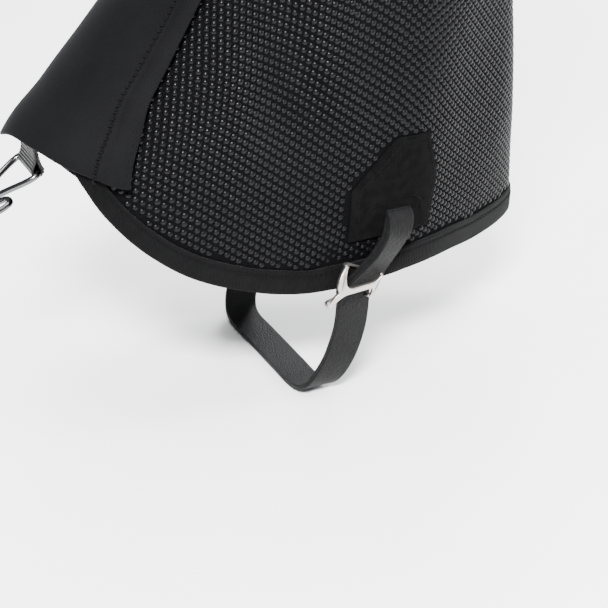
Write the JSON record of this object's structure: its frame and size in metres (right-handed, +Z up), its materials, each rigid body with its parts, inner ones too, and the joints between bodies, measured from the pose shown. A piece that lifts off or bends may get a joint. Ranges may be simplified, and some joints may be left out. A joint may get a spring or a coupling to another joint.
{
  "type": "hiking gaiter",
  "caption": "Left-leg gaiter with a dotted lower shell, front flap, lace hook, and an instep strap with a slide buckle.",
  "frame": {"origin": "on the leg's vertical axis, level with the upper face of the strap under the boot's arch", "axes": "+Z up the leg, -Y towards the toe, +X towards the outer side of the left leg"},
  "size_m": [0.1355, 0.2413, 0.4334],
  "materials": {
    "textured_cloth": "black cloth with a raised dot lattice, slightly glossy",
    "softshell_cloth": "smooth matte black woven softshell",
    "tape": "ribbed black binding and tape",
    "suede_patch": "matte suede-like black microfibre",
    "strap_plastic": "grained dark grey flexible plastic",
    "steel": "satin",
    "dark_steel": "smooth dark coated wire",
    "elastic": "ribbed black elastic",
    "webbing": "woven black webbing",
    "black_plastic": "moulded black plastic"
  },
  "bodies": {
    "gaiter": {"outer_lower_panel": "textured_cloth", "inner_lower_panel": "textured_cloth", "outer_upper_panel": "softshell_cloth", "inner_upper_panel": "softshell_cloth", "yoke_seam_tape": "tape", "back_seam_tape_lower": "tape", "back_seam_tape_upper": "tape", "hem_binding": "tape", "top_binding": "tape", "front_flap": "softshell_cloth", "flap_edge_band": "softshell_cloth", "loop_tape": "tape", "hook_tape": "tape", "outer_strap_patch": "suede_patch", "inner_strap_patch": "suede_patch", "elastic_anchor": "tape", "top_strap": "webbing", "strap_end_tip": "black_plastic", "strap_keeper": "webbing", "cam_buckle_frame": "black_plastic", "cam_pin": "steel"},
    "instep_loop": {"upper_strap": "strap_plastic", "strap_buckle": "steel", "instep_strap": "strap_plastic"},
    "hook_elastic": {"hook_elastic": "elastic"},
    "lace_hook": {"lace_hook": "dark_steel"},
    "cam_lever": {"cam_lever": "black_plastic"}
  },
  "joints": [
    {"name": "instep_loop_swing", "type": "hinge", "parent": "gaiter", "child": "instep_loop", "pos_m": [0, -0.0038, 0.0832], "axis": [1, 0, 0], "range_deg": [-7, 18]},
    {"name": "elastic_swing", "type": "hinge", "parent": "gaiter", "child": "hook_elastic", "pos_m": [0, -0.1418, 0.1202], "axis": [1, 0, 0], "range_deg": [-35, 10]},
    {"name": "hook_swing", "type": "hinge", "parent": "hook_elastic", "child": "lace_hook", "pos_m": [0, -0.141, 0.1065], "axis": [1, 0, 0], "range_deg": [-40, 60]},
    {"name": "cam_lever_flip", "type": "hinge", "parent": "gaiter", "child": "cam_lever", "pos_m": [0.06874, -0.01171, 0.40606], "axis": [0, 0, -1], "range_deg": [0, 80]}
  ]
}
